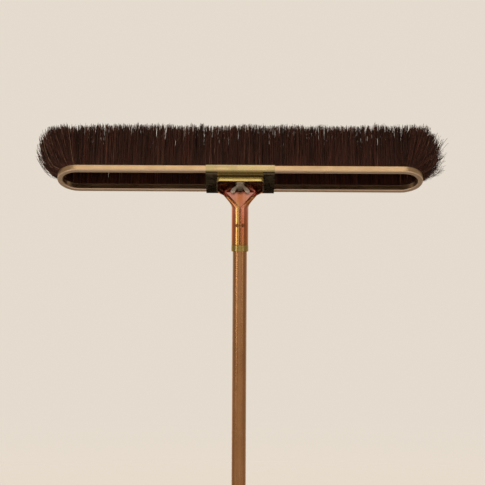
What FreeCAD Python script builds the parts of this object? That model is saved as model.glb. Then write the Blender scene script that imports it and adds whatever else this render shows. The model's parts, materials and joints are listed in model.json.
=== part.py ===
import FreeCAD, Part
import Sketcher
import math
import os
from FreeCAD import Placement, Rotation, Vector

# Push broom: a strip brush bent into a long oval, two clamp plates hooked over its bars,
# and a stamped handle socket held on them by a carriage bolt and a wing nut.
# Millimetres. +Z runs up the handle to the head, X runs along the head. The origin is the
# middle of the flat end of the hang cap. The head has a frame of its own: its X along the
# head, its Z the way the bristles point, its origin in the back face of the channel on the
# bolt's axis.

doc = FreeCAD.newDocument("push_broom")

DRIVING = [
    ("handle_length", 1524.0),
    ("handle_diameter", 23.8),
    ("handle_wall", 1.2),
    ("handle_depth", 60.0),          # length of handle inside the socket
    ("cap_lug", 20.0),
    ("cap_sleeve", 24.0),
    ("cap_wall", 1.8),
    ("cap_flat", 7.0),               # radius of the flat end
    ("cap_taper", 13.0),
    ("hang_hole", 7.0),
    ("hang_hole_height", 11.0),
    ("push_clearance", 0.05),        # per side, where one piece is pushed on another
    ("head_tilt", 28.0),             # degrees between handle and bristles
    ("head_length", 610.0),
    ("head_width", 70.0),
    ("channel_width", 8.5),
    ("channel_depth", 10.0),
    ("channel_wall", 1.0),
    ("channel_edge", 1.5),           # outer radius of the channel's bends
    ("joint_gap", 0.4),              # butt joint of the ring, under the clamp plates
    ("wire_diameter", 2.6),
    ("wire_height", 4.0),            # axis of the wire above the channel's back
    ("bristle_length", 76.0),        # outside the channel
    ("bristle_clearance", 0.1),
    ("row_spread", 7.0),             # how far a row widens each way by its tips
    ("end_spread", 32.0),            # how far the end bristles lean out by their tips
    ("end_inner_spread", 8.0),
    ("clamp_length", 114.0),
    ("clamp_sheet", 1.2),
    ("clamp_lip", 1.0),
    ("clamp_overlap", 28.5),         # edge of the upper plate, from the bolt's axis
    ("clamp_bend", 2.2),
    ("socket_sheet", 2.0),
    ("socket_height", 116.6),        # bolt to the lower edge of the collar
    ("socket_clearance", 0.1),
    ("pan_width", 79.0),
    ("pan_top", 22.6),               # top edge of the pan, from the bolt's axis
    ("pan_rim", 9.7),
    ("pan_corner", 6.0),
    ("pan_bend", 28.6),              # bend between pan and funnel, from the bolt's axis
    ("funnel_end", 43.7),            # where the funnel closes, below the bolt
    ("seam_gap", 1.6),
    ("stake_drop", 73.4),
    ("stake_side", 5.0),
    ("stake_radius", 3.2),
    ("stake_dent", 1.1),
    ("collar_length", 10.6),
    ("collar_step", 0.3),
    ("bolt_diameter", 7.9),
    ("bolt_reach", 18.7),            # from the channel's back to the bolt's end
    ("bolt_head", 17.6),
    ("bolt_head_height", 4.4),
    ("thread_pitch", 1.411),
    ("thread_depth", 0.5),
    ("neck_clearance", 0.1),
    ("seat_gap", 0.03),              # between the faces that turn on each other
    ("running_clearance", 0.08),     # bolt in the pan's hole, nut on its thread
    ("washer_diameter", 17.0),
    ("washer_thickness", 1.2),
    ("washer_clearance", 0.35),
    ("nut_height", 16.0),
    ("nut_hub_height", 9.0),
    ("nut_hub_base", 6.0),
    ("nut_hub_top", 5.2),
    ("nut_span", 31.8),
    ("nut_wing", 2.6),
    ("nut_wing_tip", 3.8),
]

sheet = doc.addObject("Spreadsheet::Sheet", "Sizes")


def add_size(name, content):
    row = add_size.row
    sheet.set(f"A{row}", name)
    sheet.set(f"B{row}", content)
    sheet.setAlias(f"B{row}", name)
    add_size.row = row + 1


add_size.row = 1
for size_name, size_value in DRIVING:
    add_size(size_name, str(size_value))

# Sizes that follow from the driving ones.
DERIVED = [
    ("handle_base", "=cap_lug"),
    ("handle_top", "=cap_lug + handle_length"),
    ("socket_base", "=handle_top - handle_depth"),
    ("collar_base", "=socket_base - collar_length"),
    ("socket_bore", "=handle_diameter / 2 + socket_clearance"),
    ("socket_outer", "=socket_bore + socket_sheet"),
    ("plates", "=2 * clamp_sheet"),
    ("pan_back", "=plates + seat_gap"),
    ("pan_face", "=pan_back + socket_sheet"),
    ("washer_face", "=pan_face + seat_gap + washer_thickness"),
    ("nut_seat", "=washer_face + seat_gap"),
    ("head_height", "=collar_base + socket_height"),
    ("head_forward", "=pan_bend * cos(head_tilt * 1deg) - pan_face * sin(head_tilt * 1deg)"
                     " - socket_bore"),
    ("bar_middle", "=(head_width - channel_width) / 2"),
    ("end_middle", "=(head_length - head_width) / 2"),
    ("groove_half", "=channel_width / 2 - channel_wall"),
    ("root_half", "=groove_half - bristle_clearance"),
    ("bristle_tip", "=channel_depth + bristle_length"),
    ("bristle_base", "=channel_wall + bristle_clearance"),
    ("hook_outer", "=head_width / 2 + push_clearance + clamp_sheet"),
    ("hook_top", "=channel_depth + push_clearance + clamp_sheet"),
]
for size_name, size_formula in DERIVED:
    add_size(size_name, size_formula)
doc.recompute()


def size(name):
    return float(getattr(sheet, name))


HEAD_PLACE = (
    "placement(vector(0; -Sizes.head_forward; Sizes.head_height);"
    " rotation(vector(1; 0; 0); -Sizes.head_tilt))"
)
HEAD_PLACE_TURNED = (
    "placement(vector(0; -Sizes.head_forward; Sizes.head_height);"
    " rotation(vector(1; 0; 0); -Sizes.head_tilt) * rotation(vector(0; 0; 1); 180))"
)
parts = []


def bind(thing, name, formula):
    thing.setExpression(name, formula)


def new_body(label, placement=None):
    body = doc.addObject("PartDesign::Body", label)
    body.Label = label
    if placement:
        bind(body, "Placement", placement)
    parts.append(body)
    return body


def new_sketch(body, name, plane, offset=None):
    """A sketch on one of the body's own planes, moved along its normal by offset."""
    sketch = body.newObject("Sketcher::SketchObject", f"{body.Name}_{name}")
    support = [o for o in body.Origin.OriginFeatures if o.Role == plane][0]
    sketch.AttachmentSupport = (support, [""])
    sketch.MapMode = "FlatFace"
    if offset:
        bind(sketch, "AttachmentOffset.Base.z", offset)
    return sketch


def fix(sketch, kind, element, formula):
    """A dimension bound to the sheet."""
    value = float(sketch.evalExpression(formula))
    index = sketch.addConstraint(Sketcher.Constraint(kind, *element, value))
    bind(sketch, f"Constraints[{index}]", formula)


def fix_point(sketch, geometry, point, across, along):
    fix(sketch, "DistanceX", (-1, 1, geometry, point), across)
    fix(sketch, "DistanceY", (-1, 1, geometry, point), along)


def draw_polygon(sketch, corners):
    """A closed outline through corners, each a pair of formulas."""
    values = []
    for across, along in corners:
        x = float(sketch.evalExpression(across))
        y = float(sketch.evalExpression(along))
        values.append(Vector(x, y, 0))
    count = len(values)
    first = sketch.GeometryCount
    for i in range(count):
        sketch.addGeometry(Part.LineSegment(values[i], values[(i + 1) % count]))
    for i in range(count):
        following = first + (i + 1) % count
        sketch.addConstraint(Sketcher.Constraint("Coincident", first + i, 2, following, 1))
        fix_point(sketch, first + i, 1, *corners[i])


def draw_circle(sketch, across, along, diameter):
    x = float(sketch.evalExpression(across))
    y = float(sketch.evalExpression(along))
    radius = float(sketch.evalExpression(diameter)) / 2
    circle = sketch.addGeometry(Part.Circle(Vector(x, y, 0), Vector(0, 0, 1), radius))
    fix(sketch, "Diameter", (circle,), diameter)
    fix_point(sketch, circle, 3, across, along)


def draw_oval(sketch, half_straight, radius):
    """Two straight bars joined by half circles, centred on the sketch's origin."""
    reach = float(sketch.evalExpression(half_straight))
    r = float(sketch.evalExpression(radius))
    up = Vector(0, 0, 1)
    right = sketch.addGeometry(
        Part.ArcOfCircle(Part.Circle(Vector(reach, 0, 0), up, r), -math.pi / 2, math.pi / 2))
    left = sketch.addGeometry(
        Part.ArcOfCircle(Part.Circle(Vector(-reach, 0, 0), up, r), math.pi / 2, 1.5 * math.pi))
    top = sketch.addGeometry(Part.LineSegment(Vector(reach, r, 0), Vector(-reach, r, 0)))
    bottom = sketch.addGeometry(Part.LineSegment(Vector(-reach, -r, 0), Vector(reach, -r, 0)))
    joins = ((right, 2, top, 1), (top, 2, left, 1), (left, 2, bottom, 1), (bottom, 2, right, 1))
    for join in joins:
        sketch.addConstraint(Sketcher.Constraint("Tangent", *join))
    sketch.addConstraint(Sketcher.Constraint("Equal", left, right))
    fix(sketch, "Radius", (right,), radius)
    fix_point(sketch, right, 3, half_straight, "0")
    fix_point(sketch, left, 3, f"-({half_straight})", "0")


def pad(body, sketch, length, name, middle=False, reverse=False):
    feature = body.newObject("PartDesign::Pad", f"{body.Name}_{name}")
    feature.Profile = sketch
    bind(feature, "Length", length)
    feature.Midplane = middle
    feature.Reversed = reverse
    doc.recompute()
    return feature


def pocket(body, sketch, length, name, middle=False, reverse=False):
    """A cut of the given depth, which must take something away."""
    before = body.Shape.Volume
    feature = body.newObject("PartDesign::Pocket", f"{body.Name}_{name}")
    feature.Profile = sketch
    bind(feature, "Length", length)
    feature.Midplane = middle
    feature.Reversed = reverse
    doc.recompute()
    if body.Shape.Volume >= before:
        raise ValueError(f"{feature.Name} cuts nothing")
    return feature


def turn(body, sketch, name, angle=360.0, groove=False):
    """A revolution or groove about the sketch's vertical axis."""
    before = body.Shape.Volume if groove else 0.0
    kind = "PartDesign::Groove" if groove else "PartDesign::Revolution"
    feature = body.newObject(kind, f"{body.Name}_{name}")
    feature.Profile = sketch
    feature.ReferenceAxis = (sketch, ["V_Axis"])
    feature.Angle = angle
    doc.recompute()
    if groove and body.Shape.Volume >= before:
        raise ValueError(f"{feature.Name} cuts nothing")
    return feature


def round_edges(body, base, radius, name, chosen):
    """A fillet on the edges of base that chosen(edge) picks."""
    names = [f"Edge{i + 1}" for i, edge in enumerate(base.Shape.Edges) if chosen(edge)]
    if not names:
        raise ValueError(f"{body.Label} has no edge for {name}")
    feature = body.newObject("PartDesign::Fillet", f"{body.Name}_{name}")
    feature.Base = (base, names)
    bind(feature, "Radius", radius)
    doc.recompute()
    return feature


def along_x(edge):
    direction = edge.tangentAt(edge.FirstParameter)
    return edge.Curve.TypeId == "Part::GeomLine" and abs(direction.x) > 0.999


def handle_tube():
    body = new_body("handle_tube")
    bind(body, "Placement.Base.z", "Sizes.handle_base")
    sketch = new_sketch(body, "section", "XY_Plane")
    draw_circle(sketch, "0", "0", "Sizes.handle_diameter")
    draw_circle(sketch, "0", "0", "Sizes.handle_diameter - 2 * Sizes.handle_wall")
    pad(body, sketch, "Sizes.handle_length", "length")


def hang_cap():
    """A moulded cap: a sleeve on the tube's end and a tapered lug with a hole to hang by."""
    body = new_body("hang_cap")
    bore = "Sizes.handle_diameter / 2 + Sizes.push_clearance"
    outer = f"{bore} + Sizes.cap_wall"
    sketch = new_sketch(body, "outline", "XZ_Plane")
    draw_polygon(sketch, [
        ("0", "0"),
        ("Sizes.cap_flat", "0"),
        (outer, "Sizes.cap_taper"),
        (outer, "Sizes.cap_lug + Sizes.cap_sleeve"),
        (bore, "Sizes.cap_lug + Sizes.cap_sleeve"),
        (bore, "Sizes.cap_lug"),
        ("0", "Sizes.cap_lug"),
    ])
    form = turn(body, sketch, "form")
    rim = size("cap_lug") + size("cap_sleeve")
    round_edges(body, form, "Sizes.cap_wall / 4", "rim",
                lambda edge: abs(edge.CenterOfMass.z - rim) < 0.01 and edge.Length > 1
                and edge.BoundBox.XLength > size("handle_diameter") + 1)
    hole = new_sketch(body, "hole", "XZ_Plane")
    draw_circle(hole, "0", "Sizes.hang_hole_height", "Sizes.hang_hole")
    pocket(body, hole, "4 * Sizes.handle_diameter", "hang_hole", middle=True)


def socket_collar():
    """A ring pressed on the handle under the socket, with a broken edge at each end."""
    body = new_body("socket_collar")
    bind(body, "Placement.Base.z", "Sizes.collar_base")
    bore = "Sizes.handle_diameter / 2 + Sizes.push_clearance"
    outer = "Sizes.socket_outer + Sizes.collar_step"
    edge = "2 * Sizes.collar_step"
    sketch = new_sketch(body, "section", "XZ_Plane")
    draw_polygon(sketch, [
        (bore, "0"),
        (f"{outer} - {edge}", "0"),
        (outer, edge),
        (outer, f"Sizes.collar_length - {edge}"),
        (f"{outer} - {edge}", "Sizes.collar_length"),
        (bore, "Sizes.collar_length"),
    ])
    turn(body, sketch, "ring")


def brush_channel():
    """The oval steel channel: a padded ring with a groove on the bristles' side."""
    body = new_body("brush_channel", HEAD_PLACE)
    ring = new_sketch(body, "ring", "XY_Plane")
    draw_oval(ring, "Sizes.end_middle", "Sizes.head_width / 2")
    draw_oval(ring, "Sizes.end_middle", "Sizes.head_width / 2 - Sizes.channel_width")
    solid = pad(body, ring, "Sizes.channel_depth", "ring_pad")
    round_edges(body, solid, "Sizes.channel_edge", "bends",
                lambda edge: abs(edge.BoundBox.ZMax) < 0.001)
    groove = new_sketch(body, "groove", "XY_Plane", "Sizes.channel_depth")
    draw_oval(groove, "Sizes.end_middle", "Sizes.bar_middle + Sizes.groove_half")
    draw_oval(groove, "Sizes.end_middle", "Sizes.bar_middle - Sizes.groove_half")
    pocket(body, groove, "Sizes.channel_depth - Sizes.channel_wall", "groove_cut")
    joint = new_sketch(body, "joint", "YZ_Plane")
    draw_polygon(joint, [
        ("Sizes.bar_middle - Sizes.channel_width", "-Sizes.channel_wall"),
        ("Sizes.bar_middle + Sizes.channel_width", "-Sizes.channel_wall"),
        ("Sizes.bar_middle + Sizes.channel_width", "Sizes.channel_depth + Sizes.channel_wall"),
        ("Sizes.bar_middle - Sizes.channel_width", "Sizes.channel_depth + Sizes.channel_wall"),
    ])
    pocket(body, joint, "Sizes.joint_gap", "joint_cut", middle=True)


def core_wire():
    """The wire that the bristles are folded over, round the whole ring."""
    body = new_body("core_wire", HEAD_PLACE)
    spine = new_sketch(body, "spine", "XY_Plane", "Sizes.wire_height")
    draw_oval(spine, "Sizes.end_middle", "Sizes.bar_middle")
    section = new_sketch(body, "section", "YZ_Plane")
    draw_circle(section, "-Sizes.bar_middle", "Sizes.wire_height", "Sizes.wire_diameter")
    wire = body.newObject("PartDesign::AdditivePipe", "core_wire_pipe")
    wire.Profile = section
    wire.Spine = (spine, [f"Edge{i + 1}" for i in range(4)])
    doc.recompute()


def bristle_row(label, side):
    """One straight row of bristles; side is -1 at the front bar and 1 at the back bar."""
    body = new_body(label, HEAD_PLACE)
    middle = f"{side} * Sizes.bar_middle"
    half = "Sizes.root_half"
    tip_half = "(Sizes.root_half + Sizes.row_spread)"
    section = new_sketch(body, "section", "YZ_Plane")
    draw_polygon(section, [
        (f"{middle} - {half}", "Sizes.bristle_base"),
        (f"{middle} + {half}", "Sizes.bristle_base"),
        (f"{middle} + {half}", "Sizes.channel_depth"),
        (f"{middle} + {tip_half}", "Sizes.bristle_tip"),
        (f"{middle} - {tip_half}", "Sizes.bristle_tip"),
        (f"{middle} - {half}", "Sizes.channel_depth"),
    ])
    pad(body, section, "2 * Sizes.end_middle", "row", middle=True)
    wire = new_sketch(body, "wire", "YZ_Plane")
    draw_circle(wire, middle, "Sizes.wire_height", "Sizes.wire_diameter")
    pocket(body, wire, "2 * Sizes.end_middle", "wire_cut", middle=True)


def half_ring(inner_x, inner_y, outer_x, outer_y, height):
    """The outline of half an elliptic ring about the Z axis, on the +X side."""
    arcs = []
    for radius_x, radius_y in ((inner_x, inner_y), (outer_x, outer_y)):
        circle = Part.Circle(Vector(0, 0, 0), Vector(0, 0, 1), 1.0)
        arc = Part.ArcOfCircle(circle, -math.pi / 2, math.pi / 2).toShape()
        stretch = FreeCAD.Matrix()
        stretch.scale(radius_x, radius_y, 1.0)
        stretch.move(Vector(size("end_middle"), 0, height))
        arcs.append(arc.transformGeometry(stretch))
    inner, outer = arcs
    first = Part.makeLine(inner.Vertexes[0].Point, outer.Vertexes[0].Point)
    last = Part.makeLine(outer.Vertexes[-1].Point, inner.Vertexes[-1].Point)
    return Part.Wire(Part.__sortEdges__([first, outer, last, inner]))


def bristle_end(label, placement):
    """The bristles round one end: upright in the channel, then leaning out to their tips."""
    inner = size("bar_middle") - size("root_half")
    outer = size("bar_middle") + size("root_half")
    root = half_ring(inner, inner, outer, outer, size("bristle_base"))
    mouth = half_ring(inner, inner, outer, outer, size("channel_depth"))
    tips = half_ring(inner + size("end_inner_spread"), inner - size("row_spread"),
                     outer + size("end_spread"), outer + size("row_spread"),
                     size("bristle_tip"))
    fan = Part.makeLoft([root, mouth], True, True).fuse(Part.makeLoft([mouth, tips], True, True))
    tunnel = Part.makeTorus(size("bar_middle"), size("wire_diameter") / 2)
    tunnel.translate(Vector(size("end_middle"), 0, size("wire_height")))
    feature = doc.addObject("Part::Feature", label)
    feature.Label = label
    feature.Shape = fan.cut(tunnel).removeSplitter()
    bind(feature, "Placement", placement)
    parts.append(feature)


def bolt_hole(body, name, width, square):
    """A hole on the bolt's axis through a plate that lies between the channel and the pan."""
    hole = new_sketch(body, name, "XY_Plane")
    if square:
        half = f"({width}) / 2"
        draw_polygon(hole, [(f"-{half}", f"-{half}"), (half, f"-{half}"), (half, half),
                            (f"-{half}", half)])
    else:
        draw_circle(hole, "0", "0", width)
    pocket(body, hole, "4 * Sizes.pan_face", f"{name}_cut", middle=True)


def clamp_plate(label, side, top, edge):
    """A J-shaped plate hooked over one bar: side is the bar, top the face that the channel
    or the other plate lies on, edge where the flat part ends beyond the bolt."""
    body = new_body(label, HEAD_PLACE)
    sheet_top = f"-({top})"
    sheet_under = f"-({top}) - Sizes.clamp_sheet"
    outside = f"{side} * Sizes.hook_outer"
    inside = f"{side} * (Sizes.hook_outer - Sizes.clamp_sheet)"
    lip = f"{side} * (Sizes.hook_outer - Sizes.clamp_sheet - Sizes.clamp_lip)"
    lip_under = "Sizes.hook_top - Sizes.clamp_sheet"
    section = new_sketch(body, "section", "YZ_Plane")
    draw_polygon(section, [
        (edge, sheet_under),
        (outside, sheet_under),
        (outside, "Sizes.hook_top"),
        (lip, "Sizes.hook_top"),
        (lip, lip_under),
        (inside, lip_under),
        (inside, sheet_top),
        (edge, sheet_top),
    ])
    plate = pad(body, section, "Sizes.clamp_length", "plate", middle=True)
    outer_y = side * size("hook_outer")
    bend = round_edges(body, plate, "Sizes.clamp_bend", "outer_bend",
                       lambda found: along_x(found)
                       and abs(found.CenterOfMass.y - outer_y) < 0.01
                       and found.CenterOfMass.z < 0)
    round_edges(body, bend, "Sizes.clamp_sheet * 0.9", "lip_bend",
                lambda found: along_x(found)
                and abs(found.CenterOfMass.y - outer_y) < 0.01
                and found.CenterOfMass.z > size("channel_depth"))
    bolt_hole(body, "neck_hole", "Sizes.bolt_diameter + 2 * Sizes.neck_clearance", True)


def carriage_bolt():
    """Domed head inside the ring, square neck in both plates, thread out through the pan."""
    body = new_body("carriage_bolt", HEAD_PLACE)
    shank = new_sketch(body, "shank", "XZ_Plane")
    radius = "Sizes.bolt_diameter / 2"
    point = "Sizes.thread_depth"
    rim = "Sizes.bolt_head_height * 0.3"
    draw_polygon(shank, [
        ("0", "-Sizes.bolt_reach"),
        (f"{radius} - {point}", "-Sizes.bolt_reach"),
        (radius, f"-Sizes.bolt_reach + {point}"),
        (radius, "0"),
        ("Sizes.bolt_head / 2", "0"),
        ("Sizes.bolt_head / 2", rim),
        ("Sizes.bolt_head * 0.36", "Sizes.bolt_head_height * 0.75"),
        ("Sizes.bolt_head * 0.18", "Sizes.bolt_head_height"),
        ("0", "Sizes.bolt_head_height"),
    ])
    turn(body, shank, "form")
    groove = new_sketch(body, "groove", "XZ_Plane")
    start = "-Sizes.bolt_reach + 2 * Sizes.thread_depth"
    draw_polygon(groove, [
        (f"{radius} - Sizes.thread_depth", f"{start} + 0.5 * Sizes.thread_pitch"),
        (f"{radius} + Sizes.thread_depth", start),
        (f"{radius} + Sizes.thread_depth", f"{start} + Sizes.thread_pitch"),
    ])
    cut = turn(body, groove, "thread_cut", groove=True)
    threads = body.newObject("PartDesign::LinearPattern", "carriage_bolt_threads")
    threads.Originals = [cut]
    threads.Direction = (groove, ["V_Axis"])
    threaded = size("bolt_reach") - size("pan_face") - 2 * size("thread_depth")
    turns = int(threaded / size("thread_pitch"))
    threads.Occurrences = turns
    threads.Length = (turns - 1) * size("thread_pitch")
    body.Tip = threads
    doc.recompute()
    neck = new_sketch(body, "neck", "XY_Plane")
    draw_polygon(neck, [(f"-{radius}", f"-{radius}"), (radius, f"-{radius}"), (radius, radius),
                        (f"-{radius}", radius)])
    pad(body, neck, "Sizes.plates - Sizes.neck_clearance", "neck_pad", reverse=True)


def flat_washer():
    body = new_body("flat_washer", HEAD_PLACE)
    section = new_sketch(body, "section", "XY_Plane", "-Sizes.washer_face")
    draw_circle(section, "0", "0", "Sizes.washer_diameter")
    draw_circle(section, "0", "0", "Sizes.bolt_diameter + 2 * Sizes.washer_clearance")
    disc = pad(body, section, "Sizes.washer_thickness", "disc")
    widest = size("washer_diameter")
    round_edges(body, disc, "Sizes.washer_thickness / 4", "rim",
                lambda edge: edge.BoundBox.XLength > widest - 0.1)


def wing_nut():
    """Two wings cut from one rounded strip, joined by a turned hub on the bolt's thread."""
    body = new_body("wing_nut", HEAD_PLACE)
    seat = "-Sizes.nut_seat"
    tip = "Sizes.nut_span / 2"
    right = [
        ("Sizes.nut_hub_base * 0.9", f"{seat} - Sizes.nut_height * 0.08"),
        (f"{tip} - Sizes.nut_wing_tip * 0.9", f"{seat} - Sizes.nut_height * 0.46"),
        (f"{tip} - Sizes.nut_wing_tip * 0.2", f"{seat} - Sizes.nut_height * 0.66"),
        (f"{tip}", f"{seat} - Sizes.nut_height * 0.8"),
        (f"{tip} - Sizes.nut_wing_tip * 0.3", f"{seat} - Sizes.nut_height * 0.95"),
        (f"{tip} - Sizes.nut_wing_tip", f"{seat} - Sizes.nut_height"),
        (f"{tip} - Sizes.nut_wing_tip * 1.7", f"{seat} - Sizes.nut_height * 0.93"),
        ("Sizes.nut_hub_top * 1.05", f"{seat} - Sizes.nut_hub_height * 0.95"),
        ("Sizes.nut_hub_top * 0.9", f"{seat} - Sizes.nut_hub_height * 0.8"),
    ]
    left = [(f"-({across})", along) for across, along in reversed(right)]
    wings = new_sketch(body, "wings", "XZ_Plane")
    draw_polygon(wings, right + left)
    strip = pad(body, wings, "Sizes.nut_wing", "strip", middle=True)
    face = size("nut_wing") / 2
    round_edges(body, strip, "Sizes.nut_wing * 0.3", "wing_edges",
                lambda edge: abs(abs(edge.CenterOfMass.y) - face) < 0.001)
    hub = new_sketch(body, "hub", "XZ_Plane")
    draw_polygon(hub, [
        ("0", seat),
        ("Sizes.nut_hub_base", seat),
        ("Sizes.nut_hub_base", f"{seat} - Sizes.nut_hub_height * 0.15"),
        ("Sizes.nut_hub_top", f"{seat} - Sizes.nut_hub_height"),
        ("0", f"{seat} - Sizes.nut_hub_height"),
    ])
    turn(body, hub, "hub_form")
    bore = new_sketch(body, "bore", "XY_Plane")
    draw_circle(bore, "0", "0", "Sizes.bolt_diameter + 2 * Sizes.running_clearance")
    pocket(body, bore, "4 * Sizes.bolt_reach", "bore_cut", middle=True)


# The socket is one stamping: a shallow pan under the plates, a funnel that curls round from
# the pan's sides, and a tube rolled from the same sheet with its seam in front.
# Each station along the funnel: share of the pan's width left, radius of the back corners,
# radius of the curled front, and angle that the front has curled through (degrees).
FUNNEL_STATIONS = [
    (1.00, 3.0, 0.0, 0.0),
    (0.96, 3.4, 30.0, 14.0),
    (0.79, 4.5, 14.0, 45.0),
    (0.59, 6.0, 12.0, 90.0),
    (0.325, 8.0, 9.8, 90.0),
    (0.09, 11.0, 9.8, 90.0),
]
ROUND_STATION_ANGLES = [25.0, 70.0, 110.0]
BEND_STATION = 3                     # the station at the bend between pan and funnel
# Where the pan stops being straight sided, is narrowing and starts to turn: shares of the
# way from the bolt's axis to the bend.
PAN_SHARES = (0.315, 0.525, 0.74)
# Where the stations past the pan meet the free edge, and how far the last two have fallen.
EDGE_SHARES = (0.25, 0.45, 0.65, 0.85)
FALL_SHARES = (0.34, 0.68)
EDGE_PULL = Vector(0, 3.0, -6.3)     # draws the free edge's curve back and down


def curled_half(half, depth, corner, curl_radius, curl_angle, inset):
    """Half a station's outline as edges, each a list of two or three points (across, depth),
    from the middle of the back to the free edge."""
    side = half - inset
    corner_in = corner - inset
    middle = (half - corner, corner)
    slant = math.sqrt(0.5) * corner_in
    edges = [
        [(0.0, inset), (half - corner, inset)],
        [(half - corner, inset), (middle[0] + slant, middle[1] - slant), (side, corner)],
    ]
    if curl_angle == 0.0:
        bend = depth * 0.7
        edges.append([(side, corner), (side, bend)])
        edges.append([(side, bend), (side, depth)])
        return edges
    angle = math.radians(curl_angle)
    start = depth - curl_radius * math.sin(angle)
    centre = half - curl_radius
    radius = curl_radius - inset
    arc = [(centre + radius * math.cos(a), start + radius * math.sin(a))
           for a in (0.0, angle / 2, angle)]
    edges.append([(side, corner), (side, start)])
    edges.append(arc)
    return edges


def round_half(radius, gap, inset):
    """Half of the closed tube's outline, in the same form as curled_half."""
    end = 180.0 - math.degrees(gap / 2 / radius)
    angles = [0.0] + ROUND_STATION_ANGLES + [end]

    def point(degrees):
        turned = math.radians(degrees)
        reach = radius - inset
        return (reach * math.sin(turned), radius - reach * math.cos(turned))

    return [[point(a), point((a + b) / 2), point(b)] for a, b in zip(angles, angles[1:])]


def station_wire(back, front, outline):
    """The closed outline of the sheet at a station; back and front are points of the
    middle plane, and outline(inset) gives half of the sheet's outer or inner side."""
    forward = (front - back).normalize()

    def place(point, side):
        return back + Vector(side * point[0], 0, 0) + forward * point[1]

    def path(inset):
        half = outline(inset)
        right = [[place(p, 1) for p in edge] for edge in half]
        left = [[place(p, -1) for p in reversed(edge)] for edge in reversed(half)]
        across = [left[-1][0]] + [right[0][-1]]
        if len(right[0]) == 3:
            across.insert(1, back + forward * half[0][0][1])
        return left[:-1] + [across] + right[1:]

    outer = path(0.0)
    inner = [list(reversed(edge)) for edge in reversed(path(size("socket_sheet")))]
    edges = []
    loop = outer + [[outer[-1][-1], inner[0][0]]] + inner + [[inner[-1][-1], outer[0][0]]]
    for points in loop:
        if len(points) == 3:
            edges.append(Part.Arc(*points).toShape())
        else:
            edges.append(Part.makeLine(*points))
    return Part.Wire(edges)


def rounded_tray(half, top, bottom, near, far, corner, bend):
    """A block open at its far end, with its two near corners and lower edges rounded."""
    block = Part.makeBox(2 * half, far - near, top - bottom, Vector(-half, near, bottom))
    corners = [e for e in block.Edges
               if abs(e.CenterOfMass.y - near) < 0.001 and e.BoundBox.XLength < 0.001]
    block = block.makeFillet(corner, corners)
    bends = [e for e in block.Edges
             if abs(e.BoundBox.ZMin - top) < 0.001 and abs(e.BoundBox.ZMax - top) < 0.001
             and e.CenterOfMass.y < far - 0.001]
    return block.makeFillet(bend, bends)


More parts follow.
